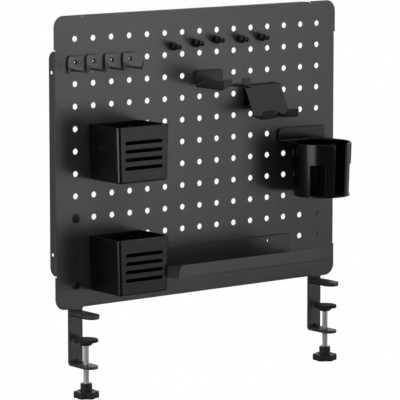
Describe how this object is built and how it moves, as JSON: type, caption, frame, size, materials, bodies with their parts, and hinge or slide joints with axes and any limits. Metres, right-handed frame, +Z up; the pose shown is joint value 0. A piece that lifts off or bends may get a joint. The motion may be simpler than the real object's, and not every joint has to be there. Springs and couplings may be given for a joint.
{
  "type": "clamp-on pegboard desk organizer",
  "caption": "Perforated steel panel on two screw clamps for a desk edge, with magnetic bins, cup holder, phone rest, headphone hanger, tray, hooks and push pins.",
  "frame": {"origin": "on the desk top, midway between the two clamps, in the plane of the panel's back face, which is the desk's edge", "axes": "+X to the right and +Z up as seen by the person at the desk, +Y away from that person"},
  "size_m": [0.6194, 0.129, 0.6486],
  "materials": {
    "panel_paint": "dark grey powder coat, fine matt grain",
    "clamp_paint": "dark grey powder coat, matt",
    "holder_paint": "dark grey powder coat, matt",
    "screw_black": "black oxide, satin",
    "rod_zinc": "bright zinc plate over a cut thread",
    "knob_plastic": "black moulded plastic, satin",
    "foot_plastic": "black moulded plastic, satin",
    "clamp_rubber": "black, matt",
    "bin_plastic": "near-black moulded plastic, satin gloss",
    "cup_plastic": "near-black moulded plastic, semi-gloss",
    "pin_plastic": "black, polished",
    "magnet_rubber": "black flexible magnet sheet",
    "magnet_nickel": "nickel-plated disc magnet"
  },
  "bodies": {
    "stand": {"pegboard_panel": "panel_paint", "left_clamp_bracket": "clamp_paint", "right_clamp_bracket": "clamp_paint", "left_upper_jaw": "clamp_paint", "right_upper_jaw": "clamp_paint", "left_jaw_pad": "clamp_rubber", "right_jaw_pad": "clamp_rubber", "left_bracket_screws": "screw_black", "right_bracket_screws": "screw_black", "upper_bin": "bin_plastic", "lower_bin": "bin_plastic", "upper_bin_magnets": "magnet_nickel", "lower_bin_magnets": "magnet_nickel", "cup_holder": "cup_plastic", "cup_holder_magnet": "magnet_rubber", "headphone_hanger": "holder_paint", "headphone_hanger_magnet": "magnet_rubber", "phone_holder": "holder_paint", "phone_holder_magnet": "magnet_rubber", "tray": "holder_paint", "tray_magnet": "magnet_rubber", "hook_1": "holder_paint", "hook_2": "holder_paint", "hook_3": "holder_paint", "hook_4": "holder_paint", "hook_magnet_1": "magnet_rubber", "hook_magnet_2": "magnet_rubber", "hook_magnet_3": "magnet_rubber", "hook_magnet_4": "magnet_rubber", "push_pin_1": "pin_plastic", "push_pin_2": "pin_plastic", "push_pin_3": "pin_plastic", "push_pin_4": "pin_plastic", "push_pin_5": "pin_plastic", "push_pin_magnet_1": "magnet_nickel", "push_pin_magnet_2": "magnet_nickel", "push_pin_magnet_3": "magnet_nickel", "push_pin_magnet_4": "magnet_nickel", "push_pin_magnet_5": "magnet_nickel"},
    "left_foot": {"left_clamp_foot": "foot_plastic", "left_foot_pad": "clamp_rubber"},
    "right_foot": {"right_clamp_foot": "foot_plastic", "right_foot_pad": "clamp_rubber"},
    "left_screw": {"left_clamp_rod": "rod_zinc", "left_clamp_knob": "knob_plastic"},
    "right_screw": {"right_clamp_rod": "rod_zinc", "right_clamp_knob": "knob_plastic"}
  },
  "joints": [
    {"name": "left_foot_slide", "type": "slide", "parent": "stand", "child": "left_foot", "axis": [0, 0, 1], "range_m": [-0.033, 0.0269]},
    {"name": "left_screw_turn", "type": "hinge", "parent": "left_foot", "child": "left_screw", "pos_m": [-0.2667, -0.0286, 0], "axis": [0, 0, 1], "range_deg": [-7900, 6440]},
    {"name": "right_foot_slide", "type": "slide", "parent": "stand", "child": "right_foot", "axis": [0, 0, 1], "range_m": [-0.033, 0.0269]},
    {"name": "right_screw_turn", "type": "hinge", "parent": "right_foot", "child": "right_screw", "pos_m": [0.2667, -0.0286, 0], "axis": [0, 0, 1], "range_deg": [-7900, 6440]}
  ],
  "couplings": [
    {"joint": "left_foot_slide", "follows": "left_screw_turn", "m_per_rad": 0.00023873},
    {"joint": "right_foot_slide", "follows": "right_screw_turn", "m_per_rad": 0.00023873}
  ]
}
